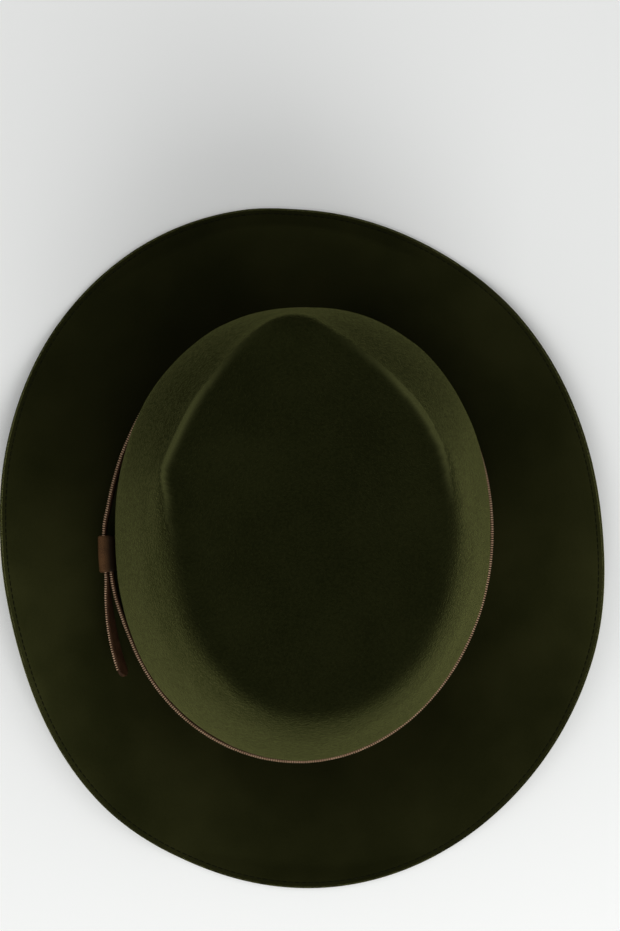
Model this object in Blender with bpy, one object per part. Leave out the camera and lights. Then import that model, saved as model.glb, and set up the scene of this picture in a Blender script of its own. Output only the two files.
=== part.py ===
"""A soft felt hat with a teardrop crease, a pinched front and a leather strap round its crown.

The hat stands on the front and rear of its brim at z = 0. The front of the hat faces -Y and the
wearer's left is +X. Lengths are in metres.
"""

import math
from collections import namedtuple

import bmesh
import bpy
from mathutils import Matrix, Vector

# The head opening sets the size of the crown.
HEAD_LENGTH = 0.198
HEAD_WIDTH = 0.1645
FELT = 0.002

# The crown, measured up from the break, where it meets the brim. FLOOR_REACH and DISH_REACH are
# shares of the way from its middle to its rim, and DISH_RISE is a share of the crease's depth.
CROWN_HEIGHT = 0.108
CROWN_FORWARD = 0.0059
CREASE_DEPTH = 0.013
FLOOR_REACH = 0.30
DISH_REACH = 0.60
DISH_RISE = 0.35
SHOULDER = 0.024
SEAT_ABOVE_STRAP = 0.006
FILLET = 0.004

# The brim, measured up from the surface that the hat stands on. BRIM_MIDDLE and BRIM_OUTER are
# shares of the way from the crown's foot to the brim's edge. EDGE_FALL is how much of the last
# stretch's rise or fall is over where the strip that the hat rests on begins.
BRIM_LENGTH = 0.312
BRIM_WIDTH = 0.276
BREAK_HEIGHT = 0.013
BRIM_RISE = 0.024
BRIM_MIDDLE = 0.38
BRIM_OUTER = 0.74
REST_STRIP = 0.006
EDGE_FALL = 0.8

# The leather strap round the foot of the crown, and the keeper that holds its two ends.
STRAP_HEIGHT = 0.0095
STRAP_THICKNESS = 0.0022
STRAP_CHAMFER = 0.0005
STRAP_TIP = 0.004
TAIL_SWING = 0.0055
TAIL_LEAN = 22.0
KEEPER_LENGTH = 0.016
KEEPER_LEAF = 0.0014
KEEPER_CORNER = 0.0008
KEEPER_ABOVE_BRIM = 0.001
CLEARANCE = 0.0003

FELT_COLOUR = (0.020, 0.023, 0.008)
STRAP_COLOUR = (0.13, 0.065, 0.035)
KEEPER_COLOUR = (0.060, 0.028, 0.014)

# How finely the surfaces are divided. TIP_CUTS are angles round the strap's rounded tip.
SPOKES = 72
STRAP_STEP = 5.0
TIP_CUTS = (0, 30, 55, 75)
KEEPER_STATIONS = 5

# Steps either side of a place, in degrees and along the profile, over which a direction is measured.
TURN_STEP = 0.2
PROFILE_STEP = 0.01

# Angles go round the crown from the front towards the wearer's right, in degrees.
# reach: how far the crown's foot departs from a plain oval, as a share of its radius.
FootStation = namedtuple("FootStation", "angle reach")
FOOT = (
    FootStation(0, 1.000),
    FootStation(45, 1.006),
    FootStation(90, 1.000),
    FootStation(140, 0.988),
    FootStation(180, 0.998),
    FootStation(225, 1.022),
    FootStation(270, 1.000),
    FootStation(315, 1.006),
)

# Levels of the crown's wall, as shares of the way up from the strap's straight seat to the rim.
WALL_LEVELS = {"side": 0.17, "belly": 0.38, "waist": 0.70}

# rim: where the crown turns from wall to top. waist, belly and side: the wall below it. All are
# shares of the crown's radius at its foot. rise: share of the crown's height. outer and inner: how
# far the turn at the rim reaches down the wall and in over the top, as shares of SHOULDER, from a
# sharp pinch to a soft turn.
CrownStation = namedtuple("CrownStation", "angle rim rise outer inner waist belly side")
CROWN = (
    CrownStation(0, 0.950, 0.97, 0.30, 0.36, 0.980, 1.005, 1.008),
    CrownStation(10, 0.882, 0.99, 0.18, 0.28, 0.992, 1.014, 1.014),
    CrownStation(22, 0.836, 1.00, 0.12, 0.32, 0.990, 1.028, 1.024),
    CrownStation(38, 0.812, 1.01, 0.12, 0.50, 0.978, 1.034, 1.026),
    CrownStation(54, 0.806, 1.01, 0.20, 0.66, 0.940, 1.016, 1.018),
    CrownStation(70, 0.798, 1.00, 0.60, 0.75, 0.898, 0.988, 1.008),
    CrownStation(100, 0.780, 0.98, 0.92, 1.00, 0.893, 0.972, 1.004),
    CrownStation(140, 0.787, 0.96, 0.78, 0.75, 0.893, 0.968, 1.000),
    CrownStation(180, 0.748, 0.95, 0.66, 0.62, 0.872, 0.962, 0.998),
    CrownStation(215, 0.668, 0.96, 0.60, 0.62, 0.823, 0.938, 0.990),
    CrownStation(250, 0.635, 0.98, 0.95, 1.00, 0.808, 0.938, 0.992),
    CrownStation(280, 0.698, 1.00, 0.90, 1.00, 0.846, 0.960, 1.003),
    CrownStation(296, 0.756, 1.01, 0.28, 1.00, 0.900, 0.990, 1.008),
    CrownStation(312, 0.768, 1.01, 0.13, 0.76, 0.945, 1.012, 1.012),
    CrownStation(332, 0.820, 1.00, 0.12, 0.42, 0.982, 1.020, 1.014),
    CrownStation(345, 0.898, 0.99, 0.18, 0.28, 0.992, 1.012, 1.012),
    CrownStation(353, 0.945, 0.98, 0.26, 0.32, 0.985, 1.006, 1.008),
)

# reach: share of the brim's plain oval. edge, outer and middle: height of the brim's upper side at
# its edge and at two places further in, as shares of BRIM_RISE.
BrimStation = namedtuple("BrimStation", "angle reach edge outer middle")
BRIM = (
    BrimStation(0, 0.996, 0.00, 0.190, 0.465),
    BrimStation(20, 0.983, 0.00, 0.195, 0.465),
    BrimStation(45, 0.991, 0.30, 0.300, 0.470),
    BrimStation(85, 0.986, 0.92, 0.560, 0.500),
    BrimStation(110, 1.008, 0.80, 0.520, 0.500),
    BrimStation(148, 1.013, 0.16, 0.270, 0.480),
    BrimStation(170, 1.009, 0.00, 0.195, 0.465),
    BrimStation(195, 1.002, 0.00, 0.195, 0.465),
    BrimStation(218, 1.005, 0.45, 0.340, 0.470),
    BrimStation(250, 0.976, 1.00, 0.580, 0.500),
    BrimStation(270, 0.990, 0.98, 0.570, 0.500),
    BrimStation(290, 1.025, 0.55, 0.420, 0.480),
    BrimStation(310, 1.047, 0.16, 0.250, 0.470),
    BrimStation(330, 1.041, 0.00, 0.190, 0.465),
    BrimStation(350, 1.015, 0.00, 0.190, 0.465),
)

# The outer run of the strap, from where it leaves the crown to its tip. turn: degrees back from
# the front towards the wearer's left. stack: share of the way out to the keeper's outer layer.
# swing: share of TAIL_SWING. lean: share of TAIL_LEAN.
StrapStation = namedtuple("StrapStation", "turn stack swing lean")
STRAP_OUTER_RUN = (
    StrapStation(40, 0.00, 0.00, 0.00),
    StrapStation(57, 0.12, 0.00, 0.00),
    StrapStation(66, 0.32, 0.00, 0.05),
    StrapStation(74, 0.48, 0.00, 0.10),
    StrapStation(82, 0.72, 0.00, 0.10),
    StrapStation(88, 1.00, 0.00, 0.00),
    StrapStation(102, 1.00, 0.00, 0.00),
    StrapStation(108, 1.00, 0.16, 0.40),
    StrapStation(117, 1.00, 0.50, 0.80),
    StrapStation(128, 1.00, 1.00, 1.00),
)
STRAP_START = 94.0
STRAP_INNER_RAMP = (102.0, 122.0)
KEEPER_TURN = 95.5

# Places along the profile, counted in its control points from the crown's middle to the brim's edge.
PROFILE_STOPS = (
    0.6, 1.2, 2.0, 2.6, 3.1, 3.6, 4.0, 4.4, 4.9, 5.4, 6.0, 6.6, 7.2, 7.9, 8.6, 9.4,
    10.2, 10.7, 11.0, 11.4, 12.0, 12.6, 13.2, 13.8, 14.4, 15.0, 16.0,
)


def between(low, high, share):
    return low + (high - low) * share


def smooth_column(rows, key, column, place, period=None):
    """The value of a column at a place between its rows, on a smooth curve through them."""
    places = [getattr(row, key) for row in rows]
    values = [getattr(row, column) for row in rows]
    if period:
        place %= period
        places = [places[-2] - period, places[-1] - period, *places, places[0] + period, places[1] + period]
        values = [*values[-2:], *values, *values[:2]]
    elif place <= places[0] or place >= places[-1]:
        return values[0] if place <= places[0] else values[-1]
    i = max(k for k in range(len(places) - 1) if places[k] <= place)
    span = places[i + 1] - places[i]
    share = (place - places[i]) / span

    def slope(k):
        low, high = max(k - 1, 0), min(k + 1, len(places) - 1)
        return (values[high] - values[low]) / (places[high] - places[low])

    return (
        values[i] * (1 + 2 * share) * (1 - share) ** 2
        + values[i + 1] * share**2 * (3 - 2 * share)
        + span * slope(i) * share * (1 - share) ** 2
        - span * slope(i + 1) * share**2 * (1 - share)
    )


def crown_value(column, angle):
    return smooth_column(CROWN, "angle", column, angle, 360)


def brim_value(column, angle):
    return smooth_column(BRIM, "angle", column, angle, 360)


def direction(angle):
    """The way from the middle of the hat towards an angle, in plan."""
    return Vector((-math.sin(math.radians(angle)), -math.cos(math.radians(angle))))


def oval_radius(angle, half_width, half_length):
    way = direction(angle)
    return 1 / math.hypot(way.x / half_width, way.y / half_length)


def crown_foot(angle, offset=0.0):
    """A point of the plan beside the outer face of the felt, at the crown's foot."""
    before, point, after = (
        direction(at)
        * oval_radius(at, HEAD_WIDTH / 2 + FELT, HEAD_LENGTH / 2 + FELT)
        * smooth_column(FOOT, "angle", "reach", at, 360)
        for at in (angle - TURN_STEP, angle, angle + TURN_STEP)
    )
    along_foot = (after - before).normalized()
    return point + Vector((-along_foot.y, along_foot.x)) * offset + Vector((0, -CROWN_FORWARD))


def strap_bottom():
    """The height at which the strap's lower edge runs, with room for the keeper under it."""
    return BREAK_HEIGHT + KEEPER_ABOVE_BRIM + KEEPER_LEAF + CLEARANCE


def along(start, end, distance, most=0.8):
    """The point that lies a distance from start on the way to end, but at most a share of it."""
    return start + (end - start).normalized() * min(distance, most * (end - start).length)


def profile_controls(angle):
    """The control points of the hat's outer face along one spoke, from the middle to the edge."""
    middle = Vector((0, -CROWN_FORWARD))
    foot = crown_foot(angle)
    edge = direction(angle) * oval_radius(angle, BRIM_WIDTH / 2, BRIM_LENGTH / 2)
    edge = edge * brim_value("reach", angle)
    rim_share = crown_value("rim", angle)
    floor = CROWN_HEIGHT - CREASE_DEPTH
    seat = strap_bottom() - BREAK_HEIGHT + STRAP_HEIGHT + SEAT_ABOVE_STRAP
    rim_height = CROWN_HEIGHT * crown_value("rise", angle)

    def on_crown(share, height):
        plan = middle.lerp(foot, share)
        return Vector((plan.x, plan.y, BREAK_HEIGHT + height))

    def on_wall(level):
        return on_crown(crown_value(level, angle), between(seat, CROWN_HEIGHT, WALL_LEVELS[level]))

    def on_brim(share, height):
        plan = foot.lerp(edge, share)
        return Vector((plan.x, plan.y, height))

    def brim_height(column):
        return BRIM_RISE * brim_value(column, angle)

    rim = on_crown(rim_share, rim_height)
    dish = on_crown(rim_share * DISH_REACH, between(floor, rim_height, DISH_RISE))
    waist = on_wall("waist")
    brim_span = (edge - foot).length
    fillet_share = FILLET / brim_span / BRIM_MIDDLE
    strip = 1 - REST_STRIP / brim_span
    return [
        on_crown(0, floor),
        on_crown(rim_share * FLOOR_REACH, floor),
        dish,
        along(rim, dish, SHOULDER * crown_value("inner", angle)),
        rim,
        along(rim, waist, SHOULDER * crown_value("outer", angle)),
        waist,
        on_wall("belly"),
        on_wall("side"),
        on_crown(1, seat),
        on_crown(1, FILLET),
        on_crown(1, 0),
        on_brim(FILLET / brim_span, between(BREAK_HEIGHT, brim_height("middle"), fillet_share)),
        on_brim(BRIM_MIDDLE, brim_height("middle")),
        on_brim(BRIM_OUTER, brim_height("outer")),
        on_brim(strip, between(brim_height("outer"), brim_height("edge"), EDGE_FALL)),
        on_brim(1, brim_height("edge")),
    ]


def on_curve(controls, place):
    """A point of the even cubic B-spline through the profile's control points."""
    across = Vector((2 * controls[0].x - controls[1].x, 2 * controls[0].y - controls[1].y, controls[1].z))
    beyond = 2 * controls[-1] - controls[-2]
    controls = [across, *controls, beyond]
    i = min(int(place), len(controls) - 4)
    u = place - i
    weights = (
        (1 - u) ** 3,
        3 * u**3 - 6 * u**2 + 4,
        -3 * u**3 + 3 * u**2 + 3 * u + 1,
        u**3,
    )
    return sum((controls[i + k] * w for k, w in enumerate(weights)), Vector((0, 0, 0))) / 6


def felt_point(angle, place):
    """A point of the felt's outer face."""
    return on_curve(profile_controls(angle), place)


def felt_normal(angle, place):
    """The way out of the felt's outer face, from two short steps on it."""
    last = PROFILE_STOPS[-1]
    low = min(place, last - PROFILE_STEP) - PROFILE_STEP
    high = low + 2 * PROFILE_STEP
    outward = felt_point(angle, high) - felt_point(angle, low)
    around = felt_point(angle + TURN_STEP, place) - felt_point(angle - TURN_STEP, place)
    return around.cross(outward).normalized()


def felt_pair(angle, place):
    """A point of the outer face and the one across the felt from it.

    The felt is pressed flat where it would pass through the surface that the hat stands on.
    """
    outer = felt_point(angle, place)
    normal = Vector((0, 0, 1)) if place == 0 else felt_normal(angle, place)
    inner = outer - normal * FELT
    if inner.z < 0:
        inner.z = 0
        outer.z = max(outer.z, FELT)
    return outer, inner


def plain_material(name, colour, roughness=0.55):
    material = bpy.data.materials.new(name)
    material.use_nodes = True
    shader = material.node_tree.nodes["Principled BSDF"]
    shader.inputs["Base Color"].default_value = (*colour, 1)
    shader.inputs["Roughness"].default_value = roughness
    shader.inputs["Metallic"].default_value = 0
    return material


def finish(name, mesh, material, smooth_angle=40):
    """Turns a bmesh into a named object of the hat."""
    bmesh.ops.recalc_face_normals(mesh, faces=mesh.faces)
    data = bpy.data.meshes.new(name)
    mesh.to_mesh(data)
    mesh.free()
    data.shade_smooth()
    data.set_sharp_from_angle(angle=math.radians(smooth_angle))
    data.materials.append(material)
    piece = bpy.data.objects.new(name, data)
    bpy.context.collection.objects.link(piece)
    return piece


def join_rings(mesh, ring, following, closed=True):
    """Fills the strip between two rings of as many vertices."""
    count = len(ring)
    for i in range(count if closed else count - 1):
        k = (i + 1) % count
        mesh.faces.new((ring[i], ring[k], following[k], following[i]))


def make_felt_body():
    """Crown and brim: two faces of the same felt, joined along the brim's edge."""
    mesh = bmesh.new()
    angles = [360 * i / SPOKES for i in range(SPOKES)]
    middle = [mesh.verts.new(point) for point in felt_pair(0, 0)]
    pairs = [[felt_pair(angle, stop) for angle in angles] for stop in PROFILE_STOPS]
    edges = []
    for side, pole in enumerate(middle):
        rings = [[mesh.verts.new(pair[side]) for pair in row] for row in pairs]
        for i in range(SPOKES):
            mesh.faces.new((pole, rings[0][i], rings[0][(i + 1) % SPOKES]))
        for ring, following in zip(rings, rings[1:]):
            join_rings(mesh, ring, following)
        edges.append(rings[-1])
    join_rings(mesh, *edges)
    return finish("felt_body", mesh, plain_material("felt", FELT_COLOUR, roughness=0.95))


def inner_layer():
    """How far out the strap's first layer lies where the keeper passes under it."""
    return KEEPER_LEAF + CLEARANCE


def outer_layer():
    """How far out the strap's second layer lies where it is in the keeper."""
    return inner_layer() + STRAP_THICKNESS + CLEARANCE


def strap_place(turn):
    """Plan point of the strap's middle, and its lean, at a turn back from the front."""
    if turn < 0:
        start, end = STRAP_INNER_RAMP
        share = min(max((end - (turn + 360)) / (end - start), 0), 1)
        lift = inner_layer() * share * share * (3 - 2 * share)
        lean = 0
    else:
        stack, swing, lean = (
            smooth_column(STRAP_OUTER_RUN, "turn", column, turn) for column in ("stack", "swing", "lean")
        )
        lift = outer_layer() * stack + TAIL_SWING * swing
    plan = crown_foot(-turn, CLEARANCE + STRAP_THICKNESS / 2 + lift)
    return plan, math.radians(TAIL_LEAN * lean)


def section(half_thickness, half_height, chamfer, largest=0.7):
    """An oblong with cut corners, as (outward, up) pairs. A low one gets a smaller cut."""
    t, h, c = half_thickness, half_height, min(chamfer, largest * half_height)
    return [
        (t - c, -h), (t, c - h), (t, h - c), (t - c, h),
        (c - t, h), (-t, h - c), (-t, c - h), (c - t, -h),
    ]


def strap_turns():
    """The turns at which the strap is cut, closer together at its rounded tip."""
    start = STRAP_START - 360
    end = STRAP_OUTER_RUN[-1].turn
    steps = round((end - start) / STRAP_STEP)
    turns = [start + (end - start) * i / steps for i in range(steps)]
    radius = crown_foot(-end).length + TAIL_SWING
    tip = math.degrees(STRAP_TIP / radius)
    turns = [turn for turn in turns if turn < end - tip - STRAP_STEP / 5]
    return turns + [end - tip * math.cos(math.radians(cut)) for cut in TIP_CUTS]


def make_band_strap():
    """One strap that starts under the keeper, goes round the crown and ends in a free tail."""
    mesh = bmesh.new()
    end = STRAP_OUTER_RUN[-1].turn
    turns = strap_turns()
    tip_start = turns[-len(TIP_CUTS)]
    bottom = strap_bottom()
    rings = []
    for turn in turns:
        plan, lean = strap_place(turn)
        ahead = (strap_place(turn + TURN_STEP)[0] - strap_place(turn - TURN_STEP)[0]).normalized()
        outward = Vector((-ahead.y, ahead.x))
        if outward.dot(plan - Vector((0, -CROWN_FORWARD))) < 0:
            outward.negate()
        into_tip = max((turn - tip_start) / (end - tip_start), 0)
        half_height = STRAP_HEIGHT / 2 * math.sqrt(max(1 - into_tip**2, 0))
        reach = STRAP_HEIGHT / 2 * math.cos(lean) + STRAP_THICKNESS / 2 * math.sin(lean)
        middle = Vector((plan.x, plan.y, bottom + reach))
        sideways = Vector((outward.x, outward.y, 0))
        spin = Matrix.Rotation(-lean, 3, sideways.cross(Vector((0, 0, 1))))
        ring = []
        for out, up in section(STRAP_THICKNESS / 2, half_height, STRAP_CHAMFER):
            ring.append(mesh.verts.new(middle + spin @ (sideways * out + Vector((0, 0, up)))))
        rings.append(ring)
    for ring, following in zip(rings, rings[1:]):
        join_rings(mesh, ring, following)
    mesh.faces.new(rings[0])
    mesh.faces.new(reversed(rings[-1]))
    return finish("band_strap", mesh, plain_material("strap_leather", STRAP_COLOUR))


def make_band_keeper():
    """A closed loop round both layers of the strap."""
    mesh = bmesh.new()
    radius = (crown_foot(-KEEPER_TURN) - Vector((0, -CROWN_FORWARD))).length
    turn_span = math.degrees(KEEPER_LENGTH / radius)
    inside = CLEARANCE + KEEPER_LEAF
    outside = CLEARANCE + outer_layer() + STRAP_THICKNESS + CLEARANCE
    low = strap_bottom() - CLEARANCE
    high = strap_bottom() + STRAP_HEIGHT + CLEARANCE
    half_gap = (outside - inside) / 2
    half_height = (high - low) / 2
    hole = section(half_gap, half_height, KEEPER_CORNER / 2)
    skin = section(half_gap + KEEPER_LEAF, half_height + KEEPER_LEAF, KEEPER_CORNER)
    loops = []
    for i in range(KEEPER_STATIONS):
        turn = KEEPER_TURN + turn_span * (i / (KEEPER_STATIONS - 1) - 0.5)
        loops.append([])
        for outline in (skin, hole):
            ring = []
            for out, up in outline:
                plan = crown_foot(-turn, (inside + outside) / 2 + out)
                ring.append(mesh.verts.new((plan.x, plan.y, (low + high) / 2 + up)))
            loops[-1].append(ring)
    for (skin_ring, hole_ring), (next_skin, next_hole) in zip(loops, loops[1:]):
        join_rings(mesh, skin_ring, next_skin)
        join_rings(mesh, hole_ring, next_hole)
    for skin_ring, hole_ring in (loops[0], loops[-1]):
        join_rings(mesh, skin_ring, hole_ring)
    return finish("band_keeper", mesh, plain_material("keeper_leather", KEEPER_COLOUR))


def main():
    for left_over in list(bpy.data.objects):
        bpy.data.objects.remove(left_over)
    make_felt_body()
    make_band_strap()
    make_band_keeper()


main()
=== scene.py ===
# %% [markdown]
# # A felt hat with a strap round its crown
#
# The hat is one piece of felt, pressed into a crown and a brim while it was wet and hot. Round the
# crown's foot runs a ribbed leather strap, whose two ends a plain leather loop holds on the
# wearer's left. The solids of the hat are already made, so this script loads them as a fixed frame
# and dresses them: each solid is replaced by a finer mesh of the same shape, with its real finish.

import math
from collections import namedtuple

import bpy
import numpy as np
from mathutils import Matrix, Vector, noise


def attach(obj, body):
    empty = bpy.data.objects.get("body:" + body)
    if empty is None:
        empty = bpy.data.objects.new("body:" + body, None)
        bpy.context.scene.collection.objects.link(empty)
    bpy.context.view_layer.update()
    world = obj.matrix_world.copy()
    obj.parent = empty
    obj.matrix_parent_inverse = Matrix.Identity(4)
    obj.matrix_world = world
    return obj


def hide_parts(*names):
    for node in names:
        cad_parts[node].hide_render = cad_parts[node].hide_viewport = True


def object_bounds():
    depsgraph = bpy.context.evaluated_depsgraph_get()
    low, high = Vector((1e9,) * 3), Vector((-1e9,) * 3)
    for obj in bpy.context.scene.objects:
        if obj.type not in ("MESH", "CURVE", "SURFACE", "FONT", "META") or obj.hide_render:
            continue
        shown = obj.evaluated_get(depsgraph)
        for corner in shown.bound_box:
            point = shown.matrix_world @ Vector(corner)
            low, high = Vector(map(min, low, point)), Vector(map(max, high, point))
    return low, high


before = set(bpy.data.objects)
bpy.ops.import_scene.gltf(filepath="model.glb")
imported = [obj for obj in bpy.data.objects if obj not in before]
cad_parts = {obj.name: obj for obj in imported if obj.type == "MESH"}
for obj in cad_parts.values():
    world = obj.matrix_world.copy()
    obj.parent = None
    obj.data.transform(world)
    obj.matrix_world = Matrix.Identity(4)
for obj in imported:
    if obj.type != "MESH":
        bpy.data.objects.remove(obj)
cad_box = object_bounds()
cad_span = Vector(cad_box[1]) - Vector(cad_box[0])
print("solids:", sorted(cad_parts), "in a box of", [round(v, 4) for v in cad_span])

# %% [markdown]
# ## Nodes written as sums
#
# A material or a Geometry Nodes tree is a net of small steps. Written node by node, even a simple
# sum takes ten lines. So one small class wraps a socket: where Python sees `1 - mask * 0.3`, the
# class adds the Math nodes for it. Any other node comes from one method, which takes the node's
# type, its settings and what its sockets get.


# %% A wire that does sums
def pick(sockets, key):
    """The socket at a position, or with that identifier or name."""
    if isinstance(key, int):
        return sockets[key]
    exact = [s for s in sockets if s.identifier == key]
    return (exact or [s for s in sockets if s.name == key and s.enabled])[0]


class Wire:
    """What leaves one socket of a node tree. Sums on it add nodes to the tree."""

    def __init__(self, tree, socket=None):
        self.tree, self.socket = tree, socket

    def node(self, kind, settings=None, inputs=None, output=0):
        """Adds a node: first its settings, then the values or links of its sockets."""
        added = self.tree.nodes.new(kind)
        for name, value in (settings or {}).items():
            setattr(added, name, value)
        for key, value in (inputs or {}).items():
            socket = pick(added.inputs, key)
            if isinstance(value, Wire):
                self.tree.links.new(value.socket, socket)
            else:
                socket.default_value = value
        return Wire(self.tree, pick(added.outputs, output)) if added.outputs else added

    def twin(self, output):
        """Another output of the same node."""
        return Wire(self.tree, pick(self.socket.node.outputs, output))

    def maths(self, operation, *values, **settings):
        settings["operation"] = operation
        return self.node("ShaderNodeMath", settings, dict(enumerate(values)))

    def vector_maths(self, operation, vector, by):
        """Adds or multiplies two vectors, or scales a vector by a number."""
        inputs = {0: vector, "Scale" if operation == "SCALE" else 1: by}
        return self.node("ShaderNodeVectorMath", {"operation": operation}, inputs, "Vector")

    def __add__(self, other):
        return self.maths("ADD", self, other)

    def __sub__(self, other):
        return self.maths("SUBTRACT", self, other)

    def __rsub__(self, other):
        return self.maths("SUBTRACT", other, self)

    def __mul__(self, other):
        return self.maths("MULTIPLY", self, other)

    def __truediv__(self, other):
        return self.maths("DIVIDE", self, other)

    def __pow__(self, other):
        return self.maths("POWER", self, other)

    __radd__, __rmul__ = __add__, __mul__

    def clamped(self):
        return self.maths("ADD", self, 0.0, use_clamp=True)

    def between(self, low, high):
        """0 below low, 1 above high, and a smooth rise from one to the other."""
        settings = {"interpolation_type": "SMOOTHSTEP"}
        inputs = {"Value": self, "From Min": low, "From Max": high}
        return self.node("ShaderNodeMapRange", settings, inputs, "Result")

    def colour(self, low, high):
        """The colour low where this wire is 0, and high where it is 1."""
        inputs = {"Factor_Float": self, "A_Color": low, "B_Color": high}
        return self.node("ShaderNodeMix", {"data_type": "RGBA"}, inputs, "Result_Color")


def rgb(red, green, blue):
    return (red, green, blue, 1.0)


print("the wire adds, takes away, multiplies, divides and raises to a power")

# %% [markdown]
# ## A material's beginning
#
# Every finish here starts from a Principled shader. What is the same all over a surface, such as
# the strength of its sheen, is set on the shader's own socket. What changes over the surface goes
# through wires into the base colour, the roughness, a Bump node or the factor of a Mix Shader.


# %% Starting and ending a material
def new_material(name, roughness, **fixed):
    """A material, its Principled shader and a wire that carries object coordinates."""
    material = bpy.data.materials.new(name)
    material.use_nodes = True
    shader = material.node_tree.nodes["Principled BSDF"]
    shader.inputs["Roughness"].default_value = roughness
    for socket, value in fixed.items():
        shader.inputs[socket.replace("_", " ")].default_value = value
    here = Wire(material.node_tree).node("ShaderNodeTexCoord", output="Object")
    return material, shader, here


def speckle(here, size, detail=2.0, roughness=0.5):
    """Noise whose patches are about a given size, in metres."""
    inputs = {"Vector": here, "Scale": 1 / size, "Detail": detail, "Roughness": roughness}
    return here.node("ShaderNodeTexNoise", None, inputs, 0)


def vertex_value(here, name):
    """A number that the mesh holds at its vertices, as an attribute."""
    return here.node("ShaderNodeAttribute", {"attribute_name": name}, output="Fac")


def connect(shader, **wires):
    """Plugs wires into the shader's sockets."""
    for socket, wire in wires.items():
        wire.tree.links.new(wire.socket, shader.inputs[socket.replace("_", " ")])


def bump(height, depth, strength=1.0):
    """The normal of a surface that a height of 1 would raise by a depth, in metres."""
    inputs = {"Height": height, "Distance": depth, "Strength": strength}
    return height.node("ShaderNodeBump", None, inputs, "Normal")


print("materials start from object coordinates, in metres")

# %% [markdown]
# ## The hat's measures
#
# The felt's shape follows a rule. From the middle of the crown to the brim's edge, each spoke of the
# hat is one smooth profile, and short tables say how that profile changes from the front of the hat
# to the rear. The measures are those of the solids, because the finer mesh has to lie on them.

# %% Measures of the hat, in metres
HEAD_LENGTH = 0.198
HEAD_WIDTH = 0.1645
FELT = 0.002
CROWN_HEIGHT = 0.108
CROWN_FORWARD = 0.0059
CREASE_DEPTH = 0.013
FLOOR_REACH = 0.30
DISH_REACH = 0.60
DISH_RISE = 0.35
SHOULDER = 0.024
SEAT_ABOVE_STRAP = 0.006
FILLET = 0.004
BRIM_LENGTH = 0.312
BRIM_WIDTH = 0.276
BREAK_HEIGHT = 0.013
BRIM_RISE = 0.024
BRIM_MIDDLE = 0.38
BRIM_OUTER = 0.74
REST_STRIP = 0.006
EDGE_FALL = 0.8

STRAP_HEIGHT = 0.0095
STRAP_THICKNESS = 0.0022
STRAP_TIP = 0.004
TAIL_SWING = 0.0055
TAIL_LEAN = 22.0
KEEPER_LENGTH = 0.016
KEEPER_LEAF = 0.0014
KEEPER_ABOVE_BRIM = 0.001
CLEARANCE = 0.0003
STRAP_BOTTOM = BREAK_HEIGHT + KEEPER_ABOVE_BRIM + KEEPER_LEAF + CLEARANCE
INNER_LAYER = KEEPER_LEAF + CLEARANCE
OUTER_LAYER = INNER_LAYER + STRAP_THICKNESS + CLEARANCE
print("the strap's lower edge runs at", round(STRAP_BOTTOM, 4), "m")

# %% [markdown]
# ## The tables
#
# Angles go round the hat from its front towards the wearer's right, in degrees. Every other number
# is a share of one of the measures above, so a row reads as a place on the hat: at 38 degrees, for
# instance, the rim is drawn far in and turns sharply, which is the pinch on the wearer's right.

# %% Tables round the hat
FootStation = namedtuple("FootStation", "angle reach")
FOOT = (
    FootStation(0, 1.000),
    FootStation(45, 1.006),
    FootStation(90, 1.000),
    FootStation(140, 0.988),
    FootStation(180, 0.998),
    FootStation(225, 1.022),
    FootStation(270, 1.000),
    FootStation(315, 1.006),
)

WALL_LEVELS = {"side": 0.17, "belly": 0.38, "waist": 0.70}

CrownStation = namedtuple("CrownStation", "angle rim rise outer inner waist belly side")
CROWN = (
    CrownStation(0, 0.950, 0.97, 0.30, 0.36, 0.980, 1.005, 1.008),
    CrownStation(10, 0.882, 0.99, 0.18, 0.28, 0.992, 1.014, 1.014),
    CrownStation(22, 0.836, 1.00, 0.12, 0.32, 0.990, 1.028, 1.024),
    CrownStation(38, 0.812, 1.01, 0.12, 0.50, 0.978, 1.034, 1.026),
    CrownStation(54, 0.806, 1.01, 0.20, 0.66, 0.940, 1.016, 1.018),
    CrownStation(70, 0.798, 1.00, 0.60, 0.75, 0.898, 0.988, 1.008),
    CrownStation(100, 0.780, 0.98, 0.92, 1.00, 0.893, 0.972, 1.004),
    CrownStation(140, 0.787, 0.96, 0.78, 0.75, 0.893, 0.968, 1.000),
    CrownStation(180, 0.748, 0.95, 0.66, 0.62, 0.872, 0.962, 0.998),
    CrownStation(215, 0.668, 0.96, 0.60, 0.62, 0.823, 0.938, 0.990),
    CrownStation(250, 0.635, 0.98, 0.95, 1.00, 0.808, 0.938, 0.992),
    CrownStation(280, 0.698, 1.00, 0.90, 1.00, 0.846, 0.960, 1.003),
    CrownStation(296, 0.756, 1.01, 0.28, 1.00, 0.900, 0.990, 1.008),
    CrownStation(312, 0.768, 1.01, 0.13, 0.76, 0.945, 1.012, 1.012),
    CrownStation(332, 0.820, 1.00, 0.12, 0.42, 0.982, 1.020, 1.014),
    CrownStation(345, 0.898, 0.99, 0.18, 0.28, 0.992, 1.012, 1.012),
    CrownStation(353, 0.945, 0.98, 0.26, 0.32, 0.985, 1.006, 1.008),
)

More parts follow.
